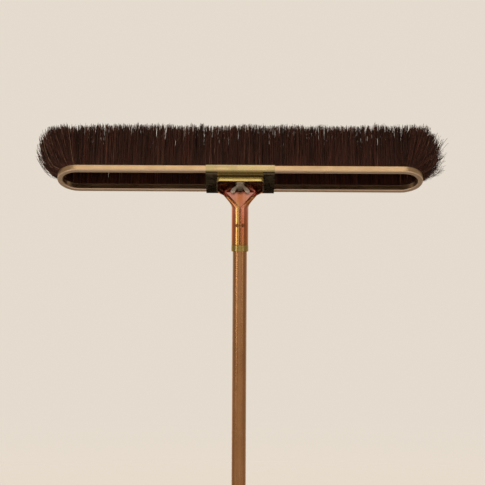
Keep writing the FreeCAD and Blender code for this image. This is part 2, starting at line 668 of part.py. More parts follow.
def handle_socket():
    sheet_metal = size("socket_sheet")
    back_face = size("pan_back")
    rim = size("pan_rim")
    pan_half = size("pan_width") / 2
    corner = size("pan_corner")
    bend = FUNNEL_STATIONS[0][1]
    tube_outer = size("socket_outer")
    head = Placement(Vector(0, -size("head_forward"), size("head_height")),
                     Rotation(Vector(1, 0, 0), -size("head_tilt")))
    tube_back = tube_outer
    funnel_base = size("head_height") - size("funnel_end")
    straight, narrowing, turning = [size("pan_bend") * share for share in PAN_SHARES]

    near = -size("pan_top")
    tray = rounded_tray(pan_half, -back_face, -back_face - rim, near, straight, corner, bend)
    hollow = rounded_tray(pan_half - sheet_metal, -back_face - sheet_metal,
                          -back_face - rim - sheet_metal, near + sheet_metal,
                          straight + sheet_metal, corner - sheet_metal, bend - sheet_metal)
    tray = tray.cut(hollow)
    tray.Placement = head

    def pan_point(reach, depth):
        return head.multVec(Vector(0, reach, -back_face - depth))

    rim_end = pan_point(narrowing, rim)
    tube_front = Vector(0, tube_back - 2 * tube_outer, funnel_base)
    lip = rim_end + EDGE_PULL

    def free_edge(share):
        """The funnel's free edge: one curve from the pan's rim to the top of the seam."""
        return (rim_end * (1 - share) ** 2 + lip * (2 * share * (1 - share))
                + tube_front * share ** 2)

    corner_point = pan_point(0, 0)
    slope = math.tan(math.radians(size("head_tilt")))
    bend_height = corner_point.z - (tube_back - corner_point.y) * slope
    fall = bend_height - funnel_base
    backs = [
        pan_point(straight, 0),
        pan_point(narrowing, 0),
        pan_point(turning, 0),
        Vector(0, tube_back, bend_height),
    ] + [Vector(0, tube_back, bend_height - fall * share) for share in FALL_SHARES]
    fronts = [
        pan_point(straight, rim),
        rim_end,
    ] + [free_edge(share) for share in EDGE_SHARES]
    wires = []
    for back, front, station in zip(backs, fronts, FUNNEL_STATIONS):
        share, back_corner, curl_radius, curl_angle = station
        half = tube_outer + share * (pan_half - tube_outer)
        depth = (front - back).Length
        wires.append(station_wire(
            back, front,
            lambda inset, values=(half, depth, back_corner, curl_radius, curl_angle):
            curled_half(*values, inset)))
    wires.append(station_wire(
        Vector(0, tube_back, funnel_base), tube_front,
        lambda inset: round_half(tube_outer, size("seam_gap"), inset)))
    # two lofts that meet at the bend, so that the pan's back stays flat
    entry = Part.makeLoft(wires[:BEND_STATION + 1], True, False)
    funnel = Part.makeLoft(wires[BEND_STATION:], True, False)

    tube_length = funnel_base - size("socket_base")
    foot = Vector(0, 0, size("socket_base"))
    tube = Part.makeCylinder(tube_outer, tube_length, foot)
    tube = tube.cut(Part.makeCylinder(tube_outer - sheet_metal, tube_length, foot))
    gap = size("seam_gap")
    seam = Part.makeBox(gap, 2 * tube_outer, tube_length,
                        Vector(-gap / 2, -2 * tube_outer, size("socket_base")))
    tube = tube.cut(seam)

    socket = tray.fuse([entry, funnel, tube])
    hole = Part.makeCylinder(size("bolt_diameter") / 2 + size("running_clearance"),
                             4 * rim, Vector(0, 0, -3 * rim))
    hole.Placement = head.multiply(hole.Placement)
    socket = socket.cut(hole)
    for side in (-1, 1):
        across = side * size("stake_side")
        surface = -math.sqrt(tube_outer ** 2 - across ** 2)
        stake = Part.makeSphere(size("stake_radius"))
        out = size("stake_radius") - size("stake_dent")
        outward = Vector(across, surface, 0).normalize()
        stake.translate(Vector(across, surface, size("head_height") - size("stake_drop"))
                        + outward * out)
        socket = socket.cut(stake)
    feature = doc.addObject("Part::Feature", "handle_socket")
    feature.Label = "handle_socket"
    feature.Shape = socket.removeSplitter()
    parts.append(feature)


handle_tube()
hang_cap()
socket_collar()
handle_socket()
brush_channel()
core_wire()
bristle_row("bristle_row_front", -1)
bristle_row("bristle_row_back", 1)
bristle_end("bristle_end_right", HEAD_PLACE)
bristle_end("bristle_end_left", HEAD_PLACE_TURNED)
clamp_plate("clamp_plate_front", -1, "0", "Sizes.head_width / 2 - Sizes.push_clearance")
clamp_plate("clamp_plate_back", 1, "Sizes.clamp_sheet", "-Sizes.clamp_overlap")
carriage_bolt()
flat_washer()
wing_nut()
doc.recompute()

for thing in doc.Objects:
    if "Invalid" in thing.State or "Error" in thing.State:
        raise ValueError(f"{thing.Name} did not build: {thing.State}")
for part in parts:
    if part.Shape.isNull() or not part.Shape.isValid():
        raise ValueError(f"{part.Label} has no sound shape")

os.makedirs("parts", exist_ok=True)
for part in parts:
    part.Shape.exportStep(f"parts/{part.Label}.step")
    box = part.Shape.BoundBox
    print(f"{part.Label:20s} solids {len(part.Shape.Solids)}  volume {part.Shape.Volume:10.1f}"
          f"  y {box.YMin:8.2f} {box.YMax:8.2f}  z {box.ZMin:8.2f} {box.ZMax:8.2f}")
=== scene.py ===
import json
import math
import random

import bmesh
import bpy
import numpy as np
from mathutils import Matrix, Vector


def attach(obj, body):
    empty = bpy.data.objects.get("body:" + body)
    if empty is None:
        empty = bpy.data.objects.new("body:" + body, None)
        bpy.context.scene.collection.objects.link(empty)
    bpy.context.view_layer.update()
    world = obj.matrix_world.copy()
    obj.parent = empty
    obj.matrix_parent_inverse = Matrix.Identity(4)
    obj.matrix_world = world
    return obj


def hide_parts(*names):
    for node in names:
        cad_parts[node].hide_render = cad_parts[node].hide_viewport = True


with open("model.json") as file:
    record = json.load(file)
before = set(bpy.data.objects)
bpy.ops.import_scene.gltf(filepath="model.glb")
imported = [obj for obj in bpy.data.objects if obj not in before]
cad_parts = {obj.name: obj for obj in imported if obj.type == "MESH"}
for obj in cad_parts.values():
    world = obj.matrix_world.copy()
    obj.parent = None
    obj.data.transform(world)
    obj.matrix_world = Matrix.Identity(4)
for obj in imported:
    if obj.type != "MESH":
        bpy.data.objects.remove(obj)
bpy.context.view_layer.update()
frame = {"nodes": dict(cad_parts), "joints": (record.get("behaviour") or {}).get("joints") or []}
nodes = frame["nodes"]
scene = bpy.context.scene
scene.view_settings.view_transform = "Standard"

mm = 0.001

# The head's own axes: along the bars, across them, and the way the bristles point
swivel = next(j for j in frame["joints"] if j["name"] == "head_swivel")
headCentre = Vector(swivel["pos_m"])
bristleWay = Vector(swivel["axis"]).normalized()
barWay = Vector((1, 0, 0))
acrossWay = bristleWay.cross(barWay)
headPlace = Matrix.Translation(headCentre) @ Matrix((barWay, acrossWay, bristleWay)).transposed().to_4x4()
headTilt = math.atan2(bristleWay.y, bristleWay.z)
print("frame loaded:", len(nodes), "nodes")


# Camera and lights

cameraValues = {
    "place": (0.0044, -2.3, 1.4884),
    "lens": 101.8,
    "roll": 0.3,
}


def makeCamera():
    data = bpy.data.cameras.new("camera")
    data.sensor_width = 36
    data.lens = cameraValues["lens"]
    camera = bpy.data.objects.new("camera", data)
    scene.collection.objects.link(camera)
    camera.matrix_world = (
        Matrix.Translation(cameraValues["place"])
        @ Matrix.Rotation(math.radians(90), 4, "X")
        @ Matrix.Rotation(math.radians(cameraValues["roll"]), 4, "Z")
    )
    scene.camera = camera


warmLight = (1.0, 0.86, 0.70)

# Each light: where it is, the height on the handle's line that it points at, width and height, watts
lightValues = {
    "softboxAbove": {"place": (0.0, -1.05, 3.05), "aim": 1.58, "size": (1.9, 0.75), "watts": 4.2},
    "softboxLeft": {"place": (-1.34, -1.10, 1.83), "aim": 1.50, "size": (0.44, 1.15), "watts": 3.6},
    "softboxFront": {"place": (0.0, -2.95, 1.80), "aim": 1.50, "size": (2.6, 1.6), "watts": 4.2},
    "softboxRight": {"place": (1.12, -1.20, 1.83), "aim": 1.50, "size": (0.42, 1.15), "watts": 1.3},
    "softboxBack": {"place": (0.5, 2.1, 3.1), "aim": 1.62, "size": (1.3, 0.8), "watts": 4.5},
}


def makeLights():
    for name, v in lightValues.items():
        data = bpy.data.lights.new(name, "AREA")
        data.shape = "RECTANGLE"
        data.size, data.size_y = v["size"]
        data.energy = v["watts"]
        data.color = warmLight
        light = bpy.data.objects.new(name, data)
        scene.collection.objects.link(light)
        light.location = v["place"]
        toAim = Vector((0.0, 0.0, v["aim"])) - light.location
        light.rotation_euler = toAim.to_track_quat("-Z", "Y").to_euler()


# Small helpers for node trees

def addNode(tree, kind, **settings):
    node = tree.nodes.new(kind)
    for key, value in settings.items():
        setattr(node, key, value)
    return node


def join(tree, source, target):
    tree.links.new(source, target)


# A socket takes another node's output, a number, or a colour or vector of three
def give(tree, target, value):
    if isinstance(value, bpy.types.NodeSocket):
        join(tree, value, target)
    elif isinstance(value, tuple) and target.type == "RGBA":
        target.default_value = (*value, 1)
    else:
        target.default_value = value


def mathNode(tree, operation, *values):
    node = addNode(tree, "ShaderNodeMath", operation=operation)
    for number, value in enumerate(values):
        give(tree, node.inputs[number], value)
    return node.outputs[0]


def times(tree, first, second):
    return mathNode(tree, "MULTIPLY", first, second)


def spread(tree, value, fromLow, fromHigh, toLow=0.0, toHigh=1.0):
    node = addNode(tree, "ShaderNodeMapRange")
    join(tree, value, node.inputs["Value"])
    ends = (("From Min", fromLow), ("From Max", fromHigh), ("To Min", toLow), ("To Max", toHigh))
    for key, number in ends:
        node.inputs[key].default_value = number
    return node.outputs["Result"]


def mixColour(tree, factor, first, second, blend="MIX"):
    node = addNode(tree, "ShaderNodeMix", data_type="RGBA", blend_type=blend)
    for number, value in ((0, factor), (6, first), (7, second)):  # 6 and 7 are the colour sockets
        give(tree, node.inputs[number], value)
    return node.outputs[2]


def noiseNode(tree, place, scale, detail=3.0, rough=0.6):
    node = addNode(tree, "ShaderNodeTexNoise")
    for key, value in (("Vector", place), ("Scale", scale), ("Detail", detail), ("Roughness", rough)):
        give(tree, node.inputs[key], value)
    return node.outputs["Fac"]


def vectorNode(tree, operation, first, second):
    node = addNode(tree, "ShaderNodeVectorMath", operation=operation)
    give(tree, node.inputs[0], first)
    give(tree, node.inputs[1], second)
    return node.outputs["Vector" if operation == "MULTIPLY" else "Value"]


noiseSpan = (0.3, 0.7)  # nearly all of a noise's values lie here


# How far a point is along a direction, from the frame's origin or from the head's centre
def alongNode(tree, place, direction):
    return vectorNode(tree, "DOT_PRODUCT", place, tuple(direction))


def fromHead(tree, place, direction):
    return mathNode(tree, "ADD", alongNode(tree, place, direction), -headCentre.dot(direction))


def rampNode(tree, value, stops):
    ramp = addNode(tree, "ShaderNodeValToRGB")
    join(tree, value, ramp.inputs["Fac"])
    elements = ramp.color_ramp.elements
    while len(elements) < len(stops):
        elements.new(0.5)
    for element, (at, colour) in zip(elements, stops):
        element.position = at
        element.color = (*colour, 1)
    return ramp.outputs[0]


# A ramp whose stops are given as real distances
def distanceRamp(tree, value, low, high, stops):
    shares = [((at - low) / (high - low), colour) for at, colour in stops]
    return rampNode(tree, spread(tree, value, low, high), shares)


def startMaterial(name):
    material = bpy.data.materials.new(name)
    material.use_nodes = True
    tree = material.node_tree
    return material, tree, tree.nodes["Principled BSDF"]


def objectPlaceOf(tree):
    return addNode(tree, "ShaderNodeTexCoord").outputs["Object"]


def startGroup(name, inputs, outputs):
    tree = bpy.data.node_groups.new(name, "ShaderNodeTree")
    for label, kind, value in inputs:
        socket = tree.interface.new_socket(label, in_out="INPUT", socket_type="NodeSocket" + kind)
        if value is not None:
            socket.default_value = value
    for label, kind in outputs:
        tree.interface.new_socket(label, in_out="OUTPUT", socket_type="NodeSocket" + kind)
    return tree, addNode(tree, "NodeGroupInput").outputs, addNode(tree, "NodeGroupOutput").inputs


# The groups' own numbers; a span is the part of a value over which a mask runs from 0 to 1
bevelSamples = 6
groupValues = {
    "streakPitch": 0.16,
    "cornerSpan": (0.995, 0.90), "patchSpan": (0.40, 0.62),
    "broadSpan": (0.45, 0.62), "fineSpan": (0.52, 0.70), "finePitch": 3.7,
    "markSpan": (0.42, 0.66), "speckSpan": (0.68, 0.76), "speckPitch": 28.0,
}


# Fine lines left by drawing or brushing, long in one direction
def makeGrainGroup(v):
    tree, given, made = startGroup(
        "drawnGrain",
        [("Place", "Vector", None), ("Pitch", "Float", 900.0), ("Stretch", "Vector", (1, 1, 0.02))],
        [("Lines", "Float"), ("Streaks", "Float")],
    )
    stretched = vectorNode(tree, "MULTIPLY", given["Place"], given["Stretch"])
    join(tree, noiseNode(tree, stretched, given["Pitch"], detail=2.0), made["Lines"])
    wide = times(tree, given["Pitch"], v["streakPitch"])
    join(tree, noiseNode(tree, stretched, wide), made["Streaks"])
    return tree


# Edges in patches: 1 on an edge; corners rubbed by use, and where an edge colour is dark, painted shade
# along the edges
def makeWearGroup(v):
    tree, given, made = startGroup(
        "edgeWear",
        [("Place", "Vector", None), ("Reach", "Float", 0.0008), ("Patches", "Float", 160.0)],
        [("Worn", "Float")],
    )
    rounded = addNode(tree, "ShaderNodeBevel", samples=bevelSamples)
    join(tree, given["Reach"], rounded.inputs["Radius"])
    flat = addNode(tree, "ShaderNodeNewGeometry")
    turned = vectorNode(tree, "DOT_PRODUCT", rounded.outputs[0], flat.outputs["Normal"])
    corner = spread(tree, turned, *v["cornerSpan"])
    blots = noiseNode(tree, given["Place"], given["Patches"], detail=4.0, rough=0.65)
    join(tree, times(tree, corner, spread(tree, blots, *v["patchSpan"])), made["Worn"])
    return tree


# The drifting colours of a passivated zinc coat, from three tints
def makeTintGroup(v):
    tree, given, made = startGroup(
        "platingTint",
        [
            ("Place", "Vector", None),
            ("Main", "Color", (1, 1, 1, 1)),
            ("Second", "Color", (1, 1, 1, 1)),
            ("Third", "Color", (1, 1, 1, 1)),
            ("Cloud", "Float", 40.0),
            ("Amount", "Float", 1.0),
        ],
        [("Colour", "Color"), ("Cloud", "Float")],
    )
    broad = noiseNode(tree, given["Place"], given["Cloud"], detail=2.5, rough=0.5)
    fine = noiseNode(tree, given["Place"], times(tree, given["Cloud"], v["finePitch"]))
    second = times(tree, spread(tree, broad, *v["broadSpan"]), given["Amount"])
    third = times(tree, spread(tree, fine, *v["fineSpan"]), given["Amount"])
    colour = mixColour(tree, second, given["Main"], given["Second"])
    join(tree, mixColour(tree, third, colour, given["Third"]), made["Colour"])
    join(tree, broad, made["Cloud"])
    return tree


# Finger marks and settled dust: 1 where the surface is dulled or has a speck
def makeSmudgeGroup(v):
    tree, given, made = startGroup(
        "smudges",
        [("Place", "Vector", None), ("Size", "Float", 30.0)],
        [("Dulled", "Float"), ("Specks", "Float")],
    )
    marks = noiseNode(tree, given["Place"], given["Size"], detail=5.0, rough=0.7)
    join(tree, spread(tree, marks, *v["markSpan"]), made["Dulled"])
    tiny = times(tree, given["Size"], v["speckPitch"])
    dots = noiseNode(tree, given["Place"], tiny, detail=1.0, rough=0.5)
    join(tree, spread(tree, dots, *v["speckSpan"]), made["Specks"])
    return tree


makeCamera()
makeLights()
grainGroup = makeGrainGroup(groupValues)
wearGroup = makeWearGroup(groupValues)
tintGroup = makeTintGroup(groupValues)
smudgeGroup = makeSmudgeGroup(groupValues)


def placeGroup(tree, group, place, **values):
    node = addNode(tree, "ShaderNodeGroup", node_tree=group)
    join(tree, place, node.inputs["Place"])
    for key, value in values.items():
        give(tree, node.inputs[key], value)
    return node.outputs


# Colours set by position on the socket, over the pan along the head's own axis, and down the tube: the
# pan's dark floor is painted shade; the pink and orange inside the V, the pale rim and the gold band
# beside the seam are painted highlights and reflections; the tube runs from dark orange to pink
def zoneTintAndLight(tree, place, colour, v):
    cloud = noiseNode(tree, place, v["wobblePitch"])
    wobble = spread(tree, cloud, *noiseSpan, -v["wobble"], v["wobble"])
    right = alongNode(tree, place, barWay)
    height = mathNode(tree, "ADD", alongNode(tree, place, (0, 0, 1)), wobble)
    across = fromHead(tree, place, acrossWay)
    lipFree = spread(tree, across, *v["lipSharp"])  # the lip's own edge stays sharp
    across = mathNode(tree, "ADD", across, times(tree, wobble, lipFree))
    fromMiddle = mathNode(tree, "ABSOLUTE", mathNode(tree, "ADD", right, wobble))

    # painted shade on the pan's floor and painted reflection inside the V; the throat adds painted orange
    # in the V's middle
    pan = distanceRamp(tree, across, *v["panSpan"], v["panStops"])
    middle = spread(tree, fromMiddle, *v["throatHalf"], v["throatShare"], 0.0)
    throat = times(tree, middle, spread(tree, across, *v["throatStart"]))
    pan = mixColour(tree, throat, pan, v["throat"])
    # painted highlight: a pale line on the pan's side rims
    rim = spread(tree, fromHead(tree, place, bristleWay), *v["rimRise"])
    onPan = spread(tree, across, *v["rimEnd"], 1.0, 0.0)
    pan = mixColour(tree, times(tree, rim, onPan), pan, v["rim"])

    tube = distanceRamp(tree, height, *v["tubeSpan"], v["tubeStops"])
    # painted highlight: a gold band beside the seam
    sideways = mathNode(tree, "ADD", right, times(tree, wobble, v["goldWobble"]))
    goldStart = spread(tree, sideways, *v["goldIn"])
    gold = times(tree, goldStart, spread(tree, sideways, *v["goldOut"], 1.0, 0.0))
    tube = mixColour(tree, times(tree, gold, v["goldShare"]), tube, v["goldHighlight"])
    zones = mixColour(tree, spread(tree, height, *v["tubeTop"], 1.0, 0.0), pan, tube)

    # the funnel's curled sides, outside the flat middle that narrows down to the seam
    flatHalf = mathNode(tree, "ADD", alongNode(tree, place, (0, 0, 1)), v["flatHalf"] - v["flatFrom"])
    beside = spread(tree, mathNode(tree, "SUBTRACT", fromMiddle, flatHalf), 0.0, v["curlSoft"])
    rising = spread(tree, height, *v["curlStart"])
    rising = times(tree, rising, spread(tree, height, *v["curlEnd"], 1.0, 0.0))
    zones = mixColour(tree, times(tree, beside, rising), zones, v["curl"])
    return mixColour(tree, v["share"], colour, zones)


coatRough = 0.22
# pit spots are painted shade: the share of a spot at full strength, and how dark
pitCore, pitShade = 0.6, 0.8  # the share of a dark spot that is full strength, and how strong


# An uncoated or plated metal with its tints, grain, worn edges and smudges; some also get painted light
# and shade: dark spots, a lighter or darker side away from the bristles, dark edges, a dark part inside
# the socket
def makeMetal(name, v):
    material, tree, shader = startMaterial(name)
    objectPlace = place = objectPlaceOf(tree)
    if v.get("turned"):  # the grain runs with the tilted head
        turn = addNode(tree, "ShaderNodeMapping", vector_type="POINT")
        turn.inputs["Rotation"].default_value = (headTilt, 0, 0)
        join(tree, place, turn.inputs["Vector"])
        place = turn.outputs[0]
    grain = placeGroup(tree, grainGroup, place, Pitch=v["grainPitch"], Stretch=v["grainStretch"])
    wear = placeGroup(tree, wearGroup, place, Reach=v["wearReach"])
    tints = {"Main": v["main"], "Second": v["second"], "Third": v["third"]}
    tint = placeGroup(tree, tintGroup, place, Cloud=v["cloud"], Amount=v["tintAmount"], **tints)
    smudge = placeGroup(tree, smudgeGroup, place, Size=v["smudgeSize"])

    colour = tint["Colour"]
    if v.get("zones"):
        colour = zoneTintAndLight(tree, objectPlace, colour, v["zones"])
    streak = spread(tree, grain["Streaks"], *noiseSpan, v["streakDark"], 0.0)
    colour = mixColour(tree, streak, colour, v["deep"])
    colour = mixColour(tree, times(tree, smudge["Specks"], v["speckAmount"]), colour, v["deep"])
    # worn edges take the edge colour: pale, uncovered metal on most parts, but dark on the channel, where
    # it is painted shade along the edges
    colour = mixColour(tree, times(tree, wear["Worn"], v["wearAmount"]), colour, v["wornAndShadedEdge"])
    shader.inputs["Metallic"].default_value = v.get("metallic", 1.0)
    if v.get("webShading"):  # painted light and shade on the side that faces away from the bristles: paler on the channel, darker on the clamp plates
        out = fromHead(tree, objectPlace, bristleWay)
        web = spread(tree, out, *v["webRise"], 0.0, v["webShare"])
        colour = mixColour(tree, web, colour, v["webShading"])
        if v.get("webMetallic"):
            join(tree, spread(tree, out, *v["webRise"], 1.0, v["webMetallic"]), shader.inputs["Metallic"])
    if v.get("socketShadeRise"):  # painted shade: the part of the tube inside the socket, seen through the socket's seam, is made nearly black
        high = alongNode(tree, objectPlace, (0, 0, 1))
        colour = mixColour(tree, spread(tree, high, *v["socketShadeRise"]), colour, v["socketShade"])
    # painted shade: dark spots in the dents and around the bolt's end and the nut's hub
    for centre, reach in v.get("shadePits", ()):
        away = vectorNode(tree, "DISTANCE", objectPlace, centre)
        near = spread(tree, away, reach * pitCore, reach, pitShade, 0.0)
        colour = mixColour(tree, near, colour, v["deep"])
    join(tree, colour, shader.inputs["Base Color"])

    shader.inputs["Coat Weight"].default_value = v.get("coat", 0.0)
    shader.inputs["Coat Roughness"].default_value = coatRough
    rough = spread(tree, grain["Lines"], *noiseSpan, v["roughLow"], v["roughHigh"])
    dull = times(tree, smudge["Dulled"], v["dullAmount"])
    join(tree, mathNode(tree, "ADD", rough, dull), shader.inputs["Roughness"])
    bump = addNode(tree, "ShaderNodeBump")
    bump.inputs["Strength"].default_value = v["bumpStrength"]
    bump.inputs["Distance"].default_value = v["bumpDepth"]
    softEdge = addNode(tree, "ShaderNodeBevel", samples=bevelSamples)
    softEdge.inputs["Radius"].default_value = v["wearReach"]
    join(tree, softEdge.outputs[0], bump.inputs["Normal"])
    height = mathNode(tree, "ADD", grain["Lines"], times(tree, tint["Cloud"], v["wave"]))
    join(tree, height, bump.inputs["Height"])
    join(tree, bump.outputs[0], shader.inputs["Normal"])
    return material


metalValues = {
    "handleSatin": {
        "coat": 0.3,
        "main": (0.56, 0.300, 0.140), "second": (0.50, 0.262, 0.120), "third": (0.61, 0.34, 0.175),
        "deep": (0.30, 0.15, 0.07), "wornAndShadedEdge": (0.78, 0.68, 0.56),
        # painted shade: the handle is nearly black above the socket's mouth, where it is inside the socket
        "socketShade": (0.03, 0.018, 0.010), "socketShadeRise": (1.4845, 1.4855),
        "cloud": 14.0, "tintAmount": 0.6, "smudgeSize": 16.0, "speckAmount": 0.25,
        "grainPitch": 1500.0, "grainStretch": (1, 1, 0.012), "streakDark": 0.35,
        "roughLow": 0.20, "roughHigh": 0.30, "dullAmount": 0.10,
        "wearReach": 0.0006, "wearAmount": 0.6, "bumpStrength": 0.12, "bumpDepth": 0.0002, "wave": 0.3,
    },
    "channelSatin": {
        # painted light: the channel's side away from the bristles is paler and pinker
        "turned": True, "webShading": (0.88, 0.74, 0.64), "webShare": 0.8, "webMetallic": 0.45,
        "webRise": (0.0012, 0.0006),
        "main": (0.74, 0.56, 0.35), "second": (0.68, 0.50, 0.31), "third": (0.78, 0.61, 0.42),
        # the channel's edge colour is dark: painted shade along its edges
        "deep": (0.42, 0.31, 0.22), "wornAndShadedEdge": (0.36, 0.24, 0.16),
        "cloud": 22.0, "tintAmount": 0.6, "smudgeSize": 26.0, "speckAmount": 0.35,
        "grainPitch": 1300.0, "grainStretch": (0.012, 1, 1), "streakDark": 0.25,
        "roughLow": 0.24, "roughHigh": 0.34, "dullAmount": 0.10,
        "wearReach": 0.0010, "wearAmount": 0.8, "bumpStrength": 0.12, "bumpDepth": 0.0002, "wave": 0.2,
    },
    "clampZinc": {
        # painted shade: the plates' faces away from the bristles are darkened
        "turned": True, "webShading": (0.29, 0.25, 0.19), "webShare": 0.92,
        "webRise": (-0.0004, -0.0012),
        "main": (0.64, 0.54, 0.30), "second": (0.57, 0.52, 0.27), "third": (0.67, 0.48, 0.33),
        "deep": (0.20, 0.16, 0.07), "wornAndShadedEdge": (0.80, 0.76, 0.66),
        "cloud": 32.0, "tintAmount": 0.8, "smudgeSize": 30.0, "speckAmount": 0.5,
        "grainPitch": 1000.0, "grainStretch": (0.03, 1, 1), "streakDark": 0.22,
        "roughLow": 0.17, "roughHigh": 0.28, "dullAmount": 0.14,
        "wearReach": 0.0007, "wearAmount": 0.75, "bumpStrength": 0.12, "bumpDepth": 0.0002, "wave": 0.5,
    },
    "socketZinc": {
        "main": (0.70, 0.32, 0.12), "second": (0.74, 0.46, 0.15), "third": (0.66, 0.24, 0.20),
        "deep": (0.22, 0.08, 0.03), "wornAndShadedEdge": (0.82, 0.66, 0.38),
        # painted shade: dark spots in the two stake dents
        "shadePits": (((-0.0050, -0.0128, 1.5168), 0.0042), ((0.0050, -0.0128, 1.5168), 0.0042)),
        "zones": {
            "share": 0.85, "wobble": 0.0025, "wobblePitch": 70.0,
            # over the pan: distances across the head from its centre; the yellow lip, then the pan's floor
            # painted dark as painted shade, then the V's inside painted pink as painted reflection
            "panSpan": (-0.023, 0.050), "lipSharp": (-0.020, -0.013),
            "panStops": [
                (-0.0225, (0.70, 0.66, 0.25)), (-0.0205, (0.64, 0.58, 0.22)),
                (-0.0192, (0.11, 0.095, 0.105)), (0.0, (0.095, 0.080, 0.095)),
                (0.021, (0.13, 0.085, 0.085)), (0.0275, (1.0, 0.50, 0.50)), (0.038, (1.0, 0.50, 0.38)),
            ],
            # painted reflection: orange low in the middle of the V
            "throat": (1.0, 0.36, 0.18), "throatShare": 0.85,
            "throatHalf": (0.003, 0.011), "throatStart": (0.026, 0.031),
            # painted highlight: a pale line on the pan's side rims
            "rim": (0.95, 0.92, 0.72), "rimRise": (-0.0115, -0.0120), "rimEnd": (0.012, 0.020),
            # down the tube: heights above the floor
            "tubeSpan": (1.480, 1.560), "tubeTop": (1.550, 1.562),
            "tubeStops": [
                (1.484, (0.52, 0.26, 0.08)), (1.494, (0.70, 0.25, 0.11)), (1.520, (0.76, 0.25, 0.13)),
                (1.536, (0.86, 0.28, 0.20)), (1.552, (1.0, 0.42, 0.33)),
            ],
            # the painted highlight beside the seam: distances to the right of the middle
            "goldHighlight": (1.0, 0.70, 0.24), "goldShare": 0.8, "goldWobble": 0.5,
            "goldIn": (-0.0085, -0.0055), "goldOut": (-0.0022, -0.0004),
            "curl": (0.50, 0.19, 0.065), "curlSoft": 0.0015, "flatHalf": 0.0042, "flatFrom": 1.5513,
            "curlStart": (1.544, 1.553), "curlEnd": (1.570, 1.577),
        },
        "cloud": 46.0, "tintAmount": 0.9, "smudgeSize": 34.0, "speckAmount": 0.5,
        "grainPitch": 900.0, "grainStretch": (1, 1, 0.06), "streakDark": 0.30,
        "roughLow": 0.15, "roughHigh": 0.24, "dullAmount": 0.10,
        "wearReach": 0.0008, "wearAmount": 0.7, "bumpStrength": 0.14, "bumpDepth": 0.0003, "wave": 0.8,
    },
    "collarZinc": {
        "main": (0.60, 0.44, 0.15), "second": (0.50, 0.44, 0.16), "third": (0.68, 0.40, 0.17),
        "deep": (0.16, 0.12, 0.03), "wornAndShadedEdge": (0.74, 0.66, 0.46),
        "cloud": 60.0, "tintAmount": 0.8, "smudgeSize": 40.0, "speckAmount": 0.5,
        "grainPitch": 1100.0, "grainStretch": (0.06, 0.06, 1), "streakDark": 0.35,
        "roughLow": 0.20, "roughHigh": 0.30, "dullAmount": 0.12,
        "wearReach": 0.0006, "wearAmount": 0.7, "bumpStrength": 0.15, "bumpDepth": 0.0002, "wave": 0.4,
    },
    "boltZinc": {
        "turned": True,
        # painted shade: a dark spot around the bolt's end
        "shadePits": ((tuple(headCentre - 0.0200 * bristleWay), 0.0085),),
        "main": (0.62, 0.57, 0.50), "second": (0.56, 0.52, 0.44), "third": (0.68, 0.62, 0.52),
        "deep": (0.11, 0.085, 0.065), "wornAndShadedEdge": (0.82, 0.78, 0.72),
        "cloud": 120.0, "tintAmount": 0.8, "smudgeSize": 60.0, "speckAmount": 0.4,
        "grainPitch": 1500.0, "grainStretch": (0.3, 0.3, 1), "streakDark": 0.25,
        "roughLow": 0.22, "roughHigh": 0.34, "dullAmount": 0.10,
        "wearReach": 0.0004, "wearAmount": 0.6, "bumpStrength": 0.12, "bumpDepth": 0.0001, "wave": 0.3,
    },
    "nutZinc": {
        "turned": True, "metallic": 0.45,
        # painted shade: a dark spot on the nut's hub around the bolt
        "shadePits": ((tuple(headCentre - 0.0180 * bristleWay), 0.0098),),
        "main": (0.97, 0.93, 0.87), "second": (0.93, 0.89, 0.82), "third": (0.98, 0.94, 0.88),
        "deep": (0.09, 0.075, 0.062), "wornAndShadedEdge": (0.95, 0.93, 0.88),
        "cloud": 150.0, "tintAmount": 0.8, "smudgeSize": 70.0, "speckAmount": 0.4,
        "grainPitch": 500.0, "grainStretch": (1, 1, 1), "streakDark": 0.20,
        "roughLow": 0.24, "roughHigh": 0.34, "dullAmount": 0.08,
        "wearReach": 0.0005, "wearAmount": 0.6, "bumpStrength": 0.25, "bumpDepth": 0.0003, "wave": 0.8,
    },
    "wireGalvanised": {
        "main": (0.50, 0.49, 0.46), "second": (0.42, 0.41, 0.40), "third": (0.58, 0.56, 0.52),
        "deep": (0.18, 0.15, 0.12), "wornAndShadedEdge": (0.70, 0.69, 0.66),
        "cloud": 90.0, "tintAmount": 0.9, "smudgeSize": 60.0, "speckAmount": 0.5,
        "grainPitch": 1200.0, "grainStretch": (0.02, 1, 1), "streakDark": 0.3,
        "roughLow": 0.32, "roughHigh": 0.45, "dullAmount": 0.12,
        "wearReach": 0.0004, "wearAmount": 0.5, "bumpStrength": 0.15, "bumpDepth": 0.0001, "wave": 0.3,
    },
}

metals = {name: makeMetal(name, values) for name, values in metalValues.items()}


# Moulded black plastic with a fine grain and scuffs at the hanging end
capValues = {
    "colour": (0.022, 0.021, 0.020), "scuffed": (0.10, 0.095, 0.088),
    "roughLow": 0.42, "roughHigh": 0.62, "markAmount": 0.35, "smudgeSize": 60.0,
    "wearReach": 0.0012, "wearPatches": 220.0,
    "grainPitch": 900.0, "bumpStrength": 0.35, "bumpDepth": 0.0003,
}


